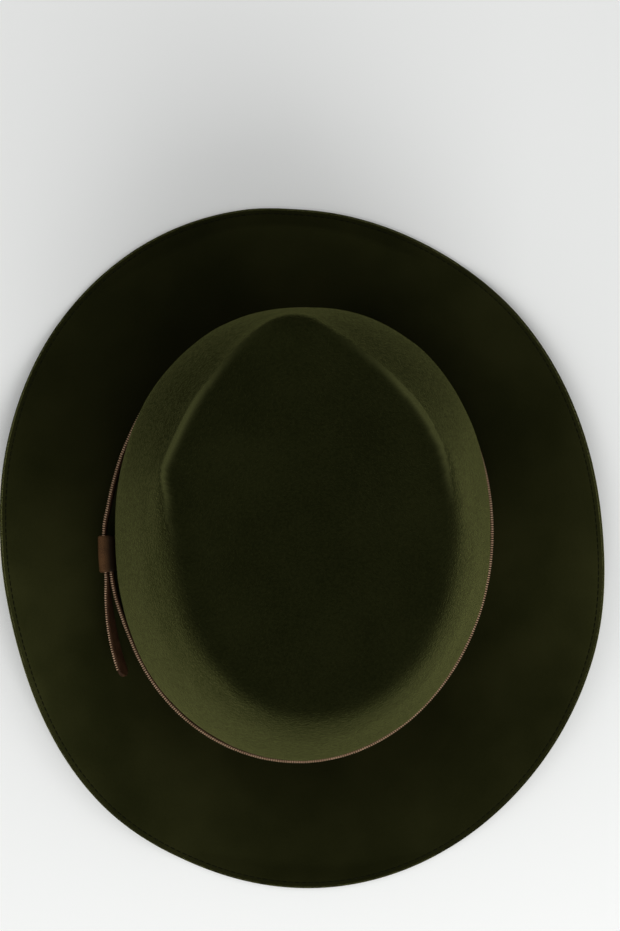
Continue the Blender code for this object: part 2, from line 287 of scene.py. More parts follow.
BrimStation = namedtuple("BrimStation", "angle reach edge outer middle")
BRIM = (
    BrimStation(0, 0.996, 0.00, 0.190, 0.465),
    BrimStation(20, 0.983, 0.00, 0.195, 0.465),
    BrimStation(45, 0.991, 0.30, 0.300, 0.470),
    BrimStation(85, 0.986, 0.92, 0.560, 0.500),
    BrimStation(110, 1.008, 0.80, 0.520, 0.500),
    BrimStation(148, 1.013, 0.16, 0.270, 0.480),
    BrimStation(170, 1.009, 0.00, 0.195, 0.465),
    BrimStation(195, 1.002, 0.00, 0.195, 0.465),
    BrimStation(218, 1.005, 0.45, 0.340, 0.470),
    BrimStation(250, 0.976, 1.00, 0.580, 0.500),
    BrimStation(270, 0.990, 0.98, 0.570, 0.500),
    BrimStation(290, 1.025, 0.55, 0.420, 0.480),
    BrimStation(310, 1.047, 0.16, 0.250, 0.470),
    BrimStation(330, 1.041, 0.00, 0.190, 0.465),
    BrimStation(350, 1.015, 0.00, 0.190, 0.465),
)

StrapStation = namedtuple("StrapStation", "turn stack swing lean")
STRAP_OUTER_RUN = (
    StrapStation(40, 0.00, 0.00, 0.00),
    StrapStation(57, 0.12, 0.00, 0.00),
    StrapStation(66, 0.32, 0.00, 0.05),
    StrapStation(74, 0.48, 0.00, 0.10),
    StrapStation(82, 0.72, 0.00, 0.10),
    StrapStation(88, 1.00, 0.00, 0.00),
    StrapStation(102, 1.00, 0.00, 0.00),
    StrapStation(108, 1.00, 0.16, 0.40),
    StrapStation(117, 1.00, 0.50, 0.80),
    StrapStation(129.6, 1.00, 1.05, 1.00),
)
STRAP_START = 94.0
STRAP_INNER_RAMP = (102.0, 122.0)
KEEPER_TURN = 95.5
print(len(CROWN), "stations round the crown and", len(BRIM), "round the brim")


# %% Reading a table between its rows
def column(rows, name, at, period=None):
    """A table's column at many places at once, on a smooth curve through its rows."""
    places = np.array([row[0] for row in rows], float)
    values = np.array([getattr(row, name) for row in rows], float)
    if period:
        at = np.mod(at, period)
        places = np.concatenate((places[-2:] - period, places, places[:2] + period))
        values = np.concatenate((values[-2:], values, values[:2]))
    at = np.clip(at, places[0], places[-1])
    low = np.maximum(np.arange(len(places)) - 1, 0)
    high = np.minimum(np.arange(len(places)) + 1, len(places) - 1)
    slope = (values[high] - values[low]) / (places[high] - places[low])
    i = np.clip(np.searchsorted(places, at, side="right") - 1, 0, len(places) - 2)
    span = places[i + 1] - places[i]
    share = (at - places[i]) / span
    return (
        values[i] * (1 + 2 * share) * (1 - share) ** 2
        + values[i + 1] * share**2 * (3 - 2 * share)
        + span * slope[i] * share * (1 - share) ** 2
        - span * slope[i + 1] * share**2 * (1 - share)
    )


pinched_rim = float(column(CROWN, "rim", 38.0, 360))
print("the rim at 38 degrees is at", round(pinched_rim, 3), "of the foot's radius")

# %% [markdown]
# ## The felt's surface
#
# A B-spline is the right curve for felt: it comes near its control points without passing through
# them, so it never shows a corner. Seventeen control points make one profile. NumPy works out all
# the spokes of the hat together, which takes no time even for a hundred thousand points.


# %% Plan of the crown and the brim
ANGLE_STEP = 0.2


def unit(vectors):
    return vectors / np.linalg.norm(vectors, axis=-1, keepdims=True)


def towards(angle):
    """The way from the middle of the hat towards an angle, in plan."""
    return np.stack((-np.sin(np.radians(angle)), -np.cos(np.radians(angle))), -1)


def oval(angle, half_width, half_length):
    way = towards(angle)
    return way / np.hypot(way[..., 0] / half_width, way[..., 1] / half_length)[..., None]


def crown_foot(angle, offset=0.0):
    """Points of the plan beside the felt's outer face at the crown's foot."""
    def on_foot(at):
        reach = column(FOOT, "reach", at, 360)[..., None]
        return oval(at, HEAD_WIDTH / 2 + FELT, HEAD_LENGTH / 2 + FELT) * reach

    angle = np.asarray(angle, float)
    run = unit(on_foot(angle + ANGLE_STEP) - on_foot(angle - ANGLE_STEP))
    outward = np.stack((-run[..., 1], run[..., 0]), -1)
    return on_foot(angle) + outward * np.asarray(offset)[..., None] + np.array((0, -CROWN_FORWARD))


span = crown_foot(np.array([0.0, 180.0]))
print("the crown's foot is", round(float(span[1, 1] - span[0, 1]), 4), "m long")


# %% The profile's control points and the curve that follows them
def blend(low, high, share):
    return low + (high - low) * share


def profile_controls(angle):
    """Control points of the felt's outer face, one profile for each angle."""
    foot = crown_foot(angle)
    middle = np.array((0, -CROWN_FORWARD))
    edge = oval(angle, BRIM_WIDTH / 2, BRIM_LENGTH / 2) * column(BRIM, "reach", angle, 360)[:, None]
    crown = {name: column(CROWN, name, angle, 360) for name in CrownStation._fields[1:]}
    brim = {name: BRIM_RISE * column(BRIM, name, angle, 360) for name in BrimStation._fields[2:]}
    floor = CROWN_HEIGHT - CREASE_DEPTH
    seat = STRAP_BOTTOM - BREAK_HEIGHT + STRAP_HEIGHT + SEAT_ABOVE_STRAP
    rim_height = CROWN_HEIGHT * crown["rise"]

    def point(start, end, share, height):
        share = np.broadcast_to(share, angle.shape)[:, None]
        height = np.broadcast_to(height, angle.shape)[:, None]
        return np.concatenate((blend(start, end, share), height), -1)

    def on_crown(share, height):
        return point(middle, foot, share, BREAK_HEIGHT + height)

    def on_wall(level):
        return on_crown(crown[level], blend(seat, CROWN_HEIGHT, WALL_LEVELS[level]))

    def on_brim(share, height):
        return point(foot, edge, share, height)

    def along(start, end, distance, most=0.8):
        length = np.linalg.norm(end - start, axis=-1)
        return start + (end - start) * (np.minimum(distance, most * length) / length)[:, None]

    rim = on_crown(crown["rim"], rim_height)
    dish = on_crown(crown["rim"] * DISH_REACH, blend(floor, rim_height, DISH_RISE))
    waist = on_wall("waist")
    brim_span = np.linalg.norm(edge - foot, axis=-1)
    fillet_height = blend(BREAK_HEIGHT, brim["middle"], FILLET / brim_span / BRIM_MIDDLE)
    return np.stack((
        on_crown(0, floor),
        on_crown(crown["rim"] * FLOOR_REACH, floor),
        dish,
        along(rim, dish, SHOULDER * crown["inner"]),
        rim,
        along(rim, waist, SHOULDER * crown["outer"]),
        waist,
        on_wall("belly"),
        on_wall("side"),
        on_crown(1, seat),
        on_crown(1, FILLET),
        on_crown(1, 0),
        on_brim(FILLET / brim_span, fillet_height),
        on_brim(BRIM_MIDDLE, brim["middle"]),
        on_brim(BRIM_OUTER, brim["outer"]),
        on_brim(1 - REST_STRIP / brim_span, blend(brim["outer"], brim["edge"], EDGE_FALL)),
        on_brim(1, brim["edge"]),
    ))


def on_curve(controls, place):
    """Points of the even cubic B-spline: one row for each place, one column for each profile."""
    across = controls[0] * 2 - controls[1]
    across[:, 2] = controls[1][:, 2]
    controls = np.concatenate((across[None], controls, (2 * controls[-1] - controls[-2])[None]))
    i = np.minimum(place.astype(int), len(controls) - 4)
    u = (place - i)[:, None, None]
    weights = ((1 - u) ** 3, 3 * u**3 - 6 * u**2 + 4, -3 * u**3 + 3 * u**2 + 3 * u + 1, u**3)
    return sum(controls[i + k] * weight for k, weight in enumerate(weights)) / 6


EDGE_PLACE = 16.0
print("a profile has", len(profile_controls(np.array([0.0]))), "control points")

# %% [markdown]
# ## Softness, and the stitched edge
#
# A hat that was shaped by hand is never perfectly even. Low, wide swells of a few tenths of a
# millimetre take the look of a casting away from the crown and the brim. Just inside the brim's
# edge a row of stitches pulls the felt in, so a shallow groove runs there, on both sides of the
# felt. The swells die out at the crown's foot, where the strap lies close.


# %% Relief of the felt
SWELL = 0.00055
SWELL_SIZE = 0.034
RIPPLE = 0.00018
RIPPLE_SIZE = 0.011
GROOVE_DEPTH = 0.00015
GROOVE_HALF_WIDTH = 0.0007
STITCH_INSET = 0.0026


def rising(x, low, high):
    share = np.clip((x - low) / (high - low), 0, 1)
    return share * share * (3 - 2 * share)


def risen(x, start, full, fading, gone):
    """Rises from 0 at start to 1 at full, and falls again between fading and gone."""
    return rising(x, start, full) * (1 - rising(x, fading, gone))


def swell_at(points):
    """Height of the hand-shaped unevenness at each point."""
    flat = points.reshape(-1, 3)
    wide = [noise.noise(Vector(p) / SWELL_SIZE) for p in flat]
    fine = [noise.noise(Vector(p) / RIPPLE_SIZE + Vector((7, 3, 1))) for p in flat]
    return (SWELL * np.array(wide) + RIPPLE * np.array(fine)).reshape(points.shape[:-1])


def groove_at(inset):
    return GROOVE_DEPTH * np.exp(-(((inset - STITCH_INSET) / GROOVE_HALF_WIDTH) ** 2))


print("the stitches run", STITCH_INSET * 1000, "mm inside the edge")

# %% [markdown]
# ## Two faces of one felt
#
# The outer face is the profile swept round the hat. The inner face lies 2 mm under it, along the
# normals. Where the brim rests on the table the felt is pressed flat. Both faces meet at the brim's
# cut edge, which is squarer than a half circle, as a blade leaves it.


# %% Rows of points on both faces
SPOKES = 384
OUTER_ROWS = 124
INNER_ROWS = 62
EDGE_ROWS = 7
EDGE_SQUARENESS = 0.55
FIRST_PLACE = 0.25
PLACE_SAMPLES = 400
PLACE_STEP = 0.01
ROWS_ANYWHERE = 0.75
RowCrowd = namedtuple("RowCrowd", "place more width")
ROW_CROWDS = (RowCrowd(11, 0.9, 0.9), RowCrowd(4.2, 1.1, 1.3), RowCrowd(EDGE_PLACE, 3.0, 0.7))
STILL_AT_FOOT = (8.2, 9.2, 12.0, 12.8)
STILL_AT_EDGE = (14.2, 15.0)
STILLED_AT_EDGE = 0.8


def place_rows(count):
    """Places along the profile, closer together at the rim, the crown's foot and the edge."""
    places = FIRST_PLACE + np.linspace(0, 1, PLACE_SAMPLES) * (EDGE_PLACE - FIRST_PLACE)
    wanted = np.full(PLACE_SAMPLES, ROWS_ANYWHERE)
    for crowd in ROW_CROWDS:
        wanted += crowd.more * np.exp(-(((places - crowd.place) / crowd.width) ** 2))
    filled = np.concatenate(([0], np.cumsum((wanted[1:] + wanted[:-1]) / 2)))
    return np.interp(np.linspace(0, filled[-1], count), filled, places)


def felt_faces(angles, places):
    """Outer and inner points, and the inset of each from the brim's edge."""
    before, controls, after = (
        profile_controls(angles + turn) for turn in (-ANGLE_STEP, 0, ANGLE_STEP)
    )
    low = np.minimum(places, EDGE_PLACE - PLACE_STEP) - PLACE_STEP
    outward = on_curve(controls, low + 2 * PLACE_STEP) - on_curve(controls, low)
    normal = unit(np.cross(on_curve(after, places) - on_curve(before, places), outward))
    outer = on_curve(controls, places)
    lengths = np.linalg.norm(np.diff(outer, axis=0), axis=-1)
    inset = np.concatenate((np.cumsum(lengths[::-1], 0)[::-1], np.zeros((1, len(angles)))))
    free = 1 - risen(places, *STILL_AT_FOOT)
    free = free * (1 - STILLED_AT_EDGE * rising(places, *STILL_AT_EDGE))
    lift = swell_at(outer) * free[:, None]
    inner = outer + normal * (lift - FELT)[..., None]
    outer = outer + normal * lift[..., None]
    pressed = inner[..., 2] < 0
    inner[pressed, 2] = 0
    outer[pressed, 2] = np.maximum(outer[pressed, 2], FELT)
    groove = groove_at(inset)[..., None] * normal
    return outer - groove, inner + groove * (inner[..., 2:] > FELT), inset, normal


angles = np.arange(SPOKES) * 360 / SPOKES
outer_places, inner_places = place_rows(OUTER_ROWS), place_rows(INNER_ROWS)
outer, outer_inner, outer_inset, outer_normal = felt_faces(angles, outer_places)
_, inner, inner_inset, _ = felt_faces(angles, inner_places)
felt_top, felt_bottom = float(outer[..., 2].max()), float(inner[..., 2].min())
print("the felt stands", round(felt_top, 4), "m high and rests at", felt_bottom)


# %% [markdown]
# ## Painted light on the felt, and how its nap lies
#
# Light and shade are painted into the felt here: the brim is painted lighter towards its edge,
# most at the sides and the rear-left, and darker near the crown at the front-left. The crown's
# crests are painted pale, partly as wear and partly as a painted sheen highlight, and the nap lies
# flat on the pinched flanks. One more table holds this, spoke by spoke. It becomes three numbers at
# every vertex, which the material reads as attributes. That keeps the marks on the felt wherever it
# is turned.


# %% Nap and painted light at every vertex
NapAndPaintedLightStation = namedtuple("NapAndPaintedLightStation", "angle near edge crest laid")
# Columns near and edge paint light and shade on the brim; crest is wear with painted sheen.
NAP_AND_PAINTED_LIGHT = (
    NapAndPaintedLightStation(0, 1.0, 1.7, 0.0, 0.20),
    NapAndPaintedLightStation(20, 0.8, 2.0, 0.4, 0.30),
    NapAndPaintedLightStation(40, 1.0, 2.0, 1.4, 0.28),
    NapAndPaintedLightStation(60, 1.0, 2.1, 0.9, 0.05),
    NapAndPaintedLightStation(80, 1.3, 2.8, 0.0, 0.00),
    NapAndPaintedLightStation(100, 1.6, 3.4, 0.0, 0.00),
    NapAndPaintedLightStation(120, 1.4, 2.1, 0.0, 0.00),
    NapAndPaintedLightStation(140, 1.0, 1.8, 0.0, 0.00),
    NapAndPaintedLightStation(160, 0.9, 1.5, 0.0, 0.00),
    NapAndPaintedLightStation(180, 1.0, 1.4, 0.0, 0.00),
    NapAndPaintedLightStation(200, 1.3, 2.0, 0.0, 0.00),
    NapAndPaintedLightStation(220, 1.4, 2.6, 0.0, 0.00),
    NapAndPaintedLightStation(240, 1.4, 4.2, 0.0, 0.00),
    NapAndPaintedLightStation(260, 1.7, 4.2, 0.0, 0.00),
    NapAndPaintedLightStation(280, 1.2, 2.6, 0.3, 0.10),
    NapAndPaintedLightStation(300, 0.8, 1.5, 1.2, 0.45),
    NapAndPaintedLightStation(320, 0.65, 1.4, 1.1, 0.55),
    NapAndPaintedLightStation(340, 0.65, 1.4, 0.3, 0.35),
)
CREST_TILT = 0.88
CREST_INSIDE = 0.0022
CREST_OUTSIDE = 0.0010
BRIM_PLACE = 11.5
BRIM_BEGINS = (10.5, 12.0)
LATE_RISE = 1.5
FLANK = (4.2, 5.2, 6.6, 7.8)


def nap_and_painted_light_at(angles, places, inset, crest_inset):
    """Painted light and shade, the crests' wear and painted sheen, and how flat the nap lies."""
    near, edge, crest, laid = (column(NAP_AND_PAINTED_LIGHT, name, angles, 360) for name in NapAndPaintedLightStation._fields[1:])
    brim_inset = inset[np.argmin(abs(places - BRIM_PLACE))]
    out = np.clip(1 - inset / brim_inset, 0, 1) ** LATE_RISE
    from_crest = inset - crest_inset
    from_crest = from_crest / np.where(from_crest > 0, CREST_INSIDE, CREST_OUTSIDE)
    return {
        "light": blend(1, blend(near, edge, out), rising(places, *BRIM_BEGINS)[:, None]),
        "crest": crest * np.exp(-(from_crest**2)),
        "laid": risen(places, *FLANK)[:, None] * laid,
    }


past_top = np.arange(OUTER_ROWS)[:, None] >= outer[..., 2].argmax(0)
crest_row = (past_top & (outer_normal[..., 2] < CREST_TILT)).argmax(0)
crest_inset = outer_inset[crest_row, np.arange(SPOKES)]
outer_nap_and_painted_light = nap_and_painted_light_at(angles, outer_places, outer_inset, crest_inset)
inner_nap_and_painted_light = nap_and_painted_light_at(angles, inner_places, inner_inset, crest_inset)
print("the nap is", round(float(outer_nap_and_painted_light["light"].max()), 1), "times as light at its palest")


# %% The felt as one closed mesh
def store(mesh, name, values):
    """Gives the mesh a number or a vector at every vertex, as an attribute."""
    values = np.asarray(values, np.float32)
    kind, field = ("FLOAT_VECTOR", "vector") if values.ndim == 2 else ("FLOAT", "value")
    mesh.attributes.new(name, kind, "POINT").data.foreach_set(field, values.ravel())


def new_object(name, data):
    """An object at the origin of the scene."""
    made = bpy.data.objects.new(name, data)
    bpy.context.collection.objects.link(made)
    return made


def edge_rows(top, bottom, out):
    """Rows that round the cut edge, from the top face to the bottom face."""
    middle, half = (top + bottom) / 2, (top - bottom) / 2
    reach = np.linalg.norm(half, axis=-1, keepdims=True)
    rows = []
    for t in np.linspace(0, math.pi, EDGE_ROWS + 2)[1:-1]:
        up = math.copysign(abs(math.cos(t)) ** EDGE_SQUARENESS, math.cos(t))
        side = math.sin(t) ** EDGE_SQUARENESS
        rows.append(middle + half * up + out * reach * side)
    return rows


def skin(rings, first, last, attributes):
    """A closed mesh over rings of points, from one pole to the other."""
    count = rings[0].shape[0]
    points = np.concatenate((*rings, first[None], last[None]))
    ring, spoke = np.meshgrid(np.arange(len(rings) - 1), np.arange(count), indexing="ij")
    following = (spoke + 1) % count
    quads = np.stack((
        ring * count + spoke,
        (ring + 1) * count + spoke,
        (ring + 1) * count + following,
        ring * count + following,
    ), -1).reshape(-1, 4)
    spokes, following = np.arange(count), (np.arange(count) + 1) % count
    end = (len(rings) - 1) * count
    first_fan = np.stack((np.full(count, len(points) - 2), spokes, following), -1)
    last_fan = np.stack((np.full(count, len(points) - 1), end + following, end + spokes), -1)
    mesh = bpy.data.meshes.new("felt")
    mesh.from_pydata(points.tolist(), [], quads.tolist() + first_fan.tolist() + last_fan.tolist())
    for name, rows in attributes.items():
        store(mesh, name, np.concatenate((*rows, [rows[0].mean()], [rows[-1].mean()])))
    mesh.shade_smooth()
    return mesh


def make_felt():
    out = unit(outer[-1] - outer[-2])
    top, bottom = outer[-1] - out * FELT / 2, inner[-1] - out * FELT / 2
    cut = edge_rows(top, bottom, out)
    rings = [*outer[:-1], top, *cut, bottom, *inner[-2::-1]]

    def over_edge(outer_rows, inner_rows):
        """Values from the middle of the outer face, over the cut edge, to that of the inner."""
        return [*outer_rows, *[outer_rows[-1]] * len(cut), *inner_rows[::-1]]

    def for_all(places):
        return np.repeat(places[:, None], SPOKES, axis=1)

    lip = np.full(SPOKES, FELT / 2)
    inset = [*outer_inset[:-1], lip, *[np.zeros(SPOKES)] * len(cut), lip, *inner_inset[-2::-1]]
    place = over_edge(for_all(outer_places), for_all(inner_places))
    # These attributes carry the painted light and shade as well as the nap.
    nap = {name: over_edge(rows, inner_nap_and_painted_light[name]) for name, rows in outer_nap_and_painted_light.items()}
    mesh = skin(rings, outer[0].mean(0), inner[0].mean(0), {"inset": inset, "place": place, **nap})
    return new_object("felt_body_soft", mesh)


felt = make_felt()
print("felt:", sum(len(p.vertices) - 2 for p in felt.data.polygons), "triangles")

# %% [markdown]
# ## Brushed felt
#
# Brushed felt looks nearly black where one looks straight at it and olive where one looks along it,
# because the short hairs that stand up catch the light. That is what a shader's sheen does, so the
# base is kept very dark and the sheen gives the olive. A second shader with little sheen stands for
# hairs that lie flat, and a Mix Shader goes from one to the other in flecks and where the nap was
# laid. Noise of four sizes gives the dye's clouds, those flecks, the nap's grain and its single
# hairs, all of them weaker on the smoother brim. Painted light and shade on the brim scale the dyed
# colour, and the crests are painted pale, partly as wear and partly as a painted sheen highlight.
# The cut edge is painted paler, partly for its paler core and partly as a painted highlight.


# %% The felt's finish
SHEEN_STANDING = 0.185
SHEEN_LAID = 0.05
SHEEN_ROUGHNESS = 0.48
SHEEN_OLIVE = rgb(0.96, 1.0, 0.33)
DYE_DARK, DYE_LIGHT = rgb(0.0034, 0.0042, 0.0011), rgb(0.0072, 0.0082, 0.0024)
# Pale crests: partly wear, partly a painted sheen highlight.
CREST_WEAR_AND_SHEEN = rgb(0.046, 0.049, 0.017)
CROWN_TINT, BRIM_TINT = rgb(1.0, 1.0, 1.0), rgb(0.97, 0.88, 0.94)
# The cut edge is painted paler: partly its paler core, partly a painted highlight.
CORE_AND_HIGHLIGHT_COLOUR = rgb(0.026, 0.026, 0.012)
CORE_AND_HIGHLIGHT_SHARE = 0.45
CORE_AND_HIGHLIGHT_ENDS = (0.0003, 0.0012)
CROWN_ENDS = (10.0, 12.0)

CLOUD_SIZE = 0.034
CLOUD_SHARE = 0.45
FLECK_SIZE = 0.0016
NAP_SIZE = 0.0011
HAIR_SIZE = 0.0005
NAP_DEPTH = 0.0009
Strength = namedtuple("Strength", "brim more_on_crown")
GRAIN = Strength(0.12, 0.43)
RELIEF = Strength(0.10, 0.90)
FLECKS = Strength(0.10, 0.32)


def felt_material():
    material, standing, here = new_material(
        "brushed_felt",
        1.0,
        Specular_IOR_Level=0.0,
        Sheen_Weight=SHEEN_STANDING,
        Sheen_Roughness=SHEEN_ROUGHNESS,
        Sheen_Tint=SHEEN_OLIVE,
    )
    tree = material.node_tree
    flat = tree.nodes.new("ShaderNodeBsdfPrincipled")
    for name in ("Roughness", "Specular IOR Level", "Sheen Roughness", "Sheen Tint"):
        flat.inputs[name].default_value = standing.inputs[name].default_value
    flat.inputs["Sheen Weight"].default_value = SHEEN_LAID

    clouds = speckle(here, CLOUD_SIZE)
    flecks = speckle(here, FLECK_SIZE, detail=4.0, roughness=0.8).between(0.42, 0.60)
    nap = speckle(here, NAP_SIZE, roughness=0.7)
    hairs = speckle(here, HAIR_SIZE)
    on_crown = 1 - vertex_value(here, "place").between(*CROWN_ENDS)

    def strength(of):
        return of.brim + of.more_on_crown * on_crown

    grain = (nap - 0.5) * strength(GRAIN)
    shade = (clouds * CLOUD_SHARE + (1 - CLOUD_SHARE) / 2 + grain).between(0.34, 0.66)
    dyed = shade.colour(DYE_DARK, DYE_LIGHT)
    # Painted light and shade on the brim, from the light attribute at the vertices.
    painted_light = dyed.vector_maths("SCALE", dyed, vertex_value(here, "light"))
    # Pale crests, partly wear and partly a painted sheen highlight.
    painted_light = vertex_value(here, "crest").colour(painted_light, CREST_WEAR_AND_SHEEN)
    painted_light = painted_light.vector_maths("MULTIPLY", painted_light, on_crown.colour(BRIM_TINT, CROWN_TINT))
    # Cut edge painted paler, partly for its core and partly as a painted highlight.
    core_and_highlight = 1 - vertex_value(here, "inset").between(*CORE_AND_HIGHLIGHT_ENDS)
    colour = (core_and_highlight * CORE_AND_HIGHLIGHT_SHARE).colour(painted_light, CORE_AND_HIGHLIGHT_COLOUR)
    normal = bump((nap * 0.5 + hairs * 0.5) * strength(RELIEF), NAP_DEPTH)
    for shader in (standing, flat):
        connect(shader, Base_Color=colour, Normal=normal)
    laid = (vertex_value(here, "laid") + flecks * strength(FLECKS)).clamped()
    mixed = here.node("ShaderNodeMixShader", None, {0: laid})
    tree.links.new(standing.outputs["BSDF"], mixed.socket.node.inputs[1])
    tree.links.new(flat.outputs["BSDF"], mixed.socket.node.inputs[2])
    tree.links.new(mixed.socket, tree.nodes["Material Output"].inputs["Surface"])
    return material


felt.data.materials.append(felt_material())
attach(felt, "root")
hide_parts("felt_body")
print("felt finish:", felt.data.materials[0].name)

# %% [markdown]
# ## Stitches along the brim's edge
#
# A row of short stitches in thread of the felt's own colour runs round the brim, on both faces. One
# stitch repeated hundreds of times is work for Geometry Nodes: a line of edges on the felt carries
# the felt's normal as an attribute, the tree cuts that line into even steps and sets one small
# rounded bar on each. Changing the stitch length is then one input.


# %% The tree that sews
def new_tree(name, *inputs):
    """A Geometry Nodes tree with a geometry in and out, and named inputs."""
    tree = bpy.data.node_groups.new(name, "GeometryNodeTree")
    tree.interface.new_socket("Geometry", in_out="INPUT", socket_type="NodeSocketGeometry")
    tree.interface.new_socket("Geometry", in_out="OUTPUT", socket_type="NodeSocketGeometry")
    for label, kind in inputs:
        tree.interface.new_socket(label, in_out="INPUT", socket_type="NodeSocket" + kind)
    return tree, Wire(tree).node("NodeGroupInput")


def finish_tree(shape, material_input):
    """Ends a tree: instances become real, and get their material."""
    real = shape.node("GeometryNodeRealizeInstances", None, {"Geometry": shape})
    done = real.node("GeometryNodeSetMaterial", None, {"Geometry": real, "Material": material_input})
    done.node("NodeGroupOutput", None, {0: done})


def line_value(start, name, kind="FLOAT_VECTOR"):
    """What the line that goes into a tree holds at its points, under a name."""
    settings = {"data_type": kind}
    return start.node("GeometryNodeInputNamedAttribute", settings, {"Name": name}, "Attribute")


def line_object(name, points, closed, **held):
    """A line of edges through points, each of which holds vectors and numbers."""
    count = len(points)
    edges = [(i, (i + 1) % count) for i in range(count if closed else count - 1)]
    mesh = bpy.data.meshes.new(name)
    mesh.from_pydata([tuple(p) for p in points], edges, [])
    for label, values in held.items():
        store(mesh, label, values)
    return new_object(name, mesh)


def grow(line, tree, **values):
    """Runs a tree on an object and leaves the result as a plain mesh."""
    modifier = line.modifiers.new("tree", "NODES")
    modifier.node_group = tree
    for item in tree.interface.items_tree:
        if item.in_out == "INPUT" and item.name in values:
            modifier[item.identifier] = values[item.name]
    evaluated = line.evaluated_get(bpy.context.evaluated_depsgraph_get())
    mesh = bpy.data.meshes.new_from_object(evaluated)
    mesh.name = line.name
    line.modifiers.remove(modifier)
    line.data = mesh
    return line


print("a tree's inputs are set by each socket's identifier")


# %% One bar on every step of a line
BAR_SIDES = 6
BAR_SEGMENTS = 5
BAR_NARROWING = 0.6
BAR_NARROWS_LATE = 6.0


def round_bar(start):
    """A bar one metre long and thick that narrows to its ends."""
    shape = {"Vertices": BAR_SIDES, "Side Segments": BAR_SEGMENTS, "Fill Segments": 1}
    shape.update({"Radius": 0.5, "Depth": 1.0})
    tube = start.node("GeometryNodeMeshCylinder", None, shape, "Mesh")
    here = start.node("GeometryNodeInputPosition")
    height = here.node("ShaderNodeSeparateXYZ", None, {0: here}, "Z")
    narrow = 1 - (height.maths("ABSOLUTE", height) * 2.0) ** BAR_NARROWS_LATE * BAR_NARROWING
    shares = here.node("ShaderNodeCombineXYZ", None, {"X": narrow, "Y": narrow, "Z": 1.0})
    rounded = {"Geometry": tube, "Position": here.vector_maths("MULTIPLY", here, shares)}
    bar = start.node("GeometryNodeSetPosition", None, rounded)
    return start.node("GeometryNodeSetShadeSmooth", None, {"Geometry": bar})


def bar_tree(name):
    """Bars along a line: each lies along one stored direction and faces another."""
    sizes = [(label, "Float") for label in ("Step", "Length", "Width", "Proud")]
    tree, start = new_tree(name, *sizes, ("Material", "Material"))
    line = start.node("GeometryNodeMeshToCurve", None, {"Mesh": start})
    spacing = {"Curve": line, "Length": start.twin("Step")}
    steps = start.node("GeometryNodeResampleCurve", {"mode": "LENGTH"}, spacing)
    smooth = round_bar(start)
    scales = {"X": start.twin("Proud") * 2.0, "Y": start.twin("Width"), "Z": start.twin("Length")}
    size = start.node("ShaderNodeCombineXYZ", None, scales)
    lie = {"Vector": line_value(start, "lie")}
    upright = start.node("FunctionNodeAlignRotationToVector", {"axis": "Z"}, lie)
    facing = start.node(
        "FunctionNodeAlignRotationToVector",
        {"axis": "X", "pivot_axis": "Z"},
        {"Rotation": upright, "Vector": line_value(start, "face")},
    )
    sewn = line_value(start, "sewn", "FLOAT")
    bars = start.node(
        "GeometryNodeInstanceOnPoints",
        None,
        {
            "Points": steps,
            "Selection": sewn.maths("GREATER_THAN", sewn, 0.5),
            "Instance": smooth,
            "Rotation": facing,
            "Scale": size,
        },
    )
    finish_tree(bars, start.twin("Material"))
    return tree


bars = bar_tree("bars_along_a_line")
print("the tree of bars has", len(bars.nodes), "nodes")


# %% Sewing both faces
STITCH_STEP = 0.0030
STITCH_LENGTH = 0.0024
STITCH_WIDTH = 0.00055
STITCH_PROUD = 0.00018
THREAD_DARK, THREAD_LIGHT = rgb(0.0030, 0.0034, 0.0012), rgb(0.0080, 0.0084, 0.0032)
TWIST_SIZE = 0.0006
TWIST_DEPTH = 0.0002


def thread_material():
    material, shader, here = new_material("stitch_thread", 0.8, Specular_IOR_Level=0.03)
    twist = speckle(here, TWIST_SIZE, detail=1.0)
    shade = twist.between(0.35, 0.65).colour(THREAD_DARK, THREAD_LIGHT)
    connect(shader, Base_Color=shade, Normal=bump(twist, TWIST_DEPTH, 0.7))
    return material


def at_inset(face, inset, distance):
    """Points of a face at a distance from the brim's edge, one for each spoke."""
    points = []
    for k in range(face.shape[1]):
        points.append([np.interp(-distance, -inset[:, k], face[:, k, axis]) for axis in range(3)])
    return np.array(points)


def sew(name, points, normals, material):
    run = unit(np.roll(points, -1, 0) - np.roll(points, 1, 0))
    line = line_object(name, points, True, face=normals, lie=run, sewn=np.ones(len(points)))
    return grow(
        line,
        bars,
        Step=STITCH_STEP,
        Length=STITCH_LENGTH,
        Width=STITCH_WIDTH,
        Proud=STITCH_PROUD,
        Material=material,
    )


thread = thread_material()
edge_normal = at_inset(outer_normal, outer_inset, STITCH_INSET)
top_line = at_inset(outer, outer_inset, STITCH_INSET)
top_stitches = sew("brim_stitches_top", top_line, edge_normal, thread)
under_line = at_inset(outer_inner, outer_inset, STITCH_INSET)
under_line[:, 2] = np.maximum(under_line[:, 2], STITCH_PROUD)
under_stitches = sew("brim_stitches_under", under_line, -edge_normal, thread)
for stitches in (top_stitches, under_stitches):
    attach(stitches, "root")
    print(stitches.name, "has", len(stitches.data.polygons), "faces")

# %% [markdown]
# ## The strap's way round the crown
#
# The strap starts under the keeper, goes once round the crown, lies over its own start inside the
# keeper and ends in a free tail that leans out. Its middle line and its two directions, out of the
# crown and up its height, are worked out from the solid's table. Only the last row goes a little
# further here, for the tail's full length.


# %% Line of the strap
STRAP_POINTS = 900


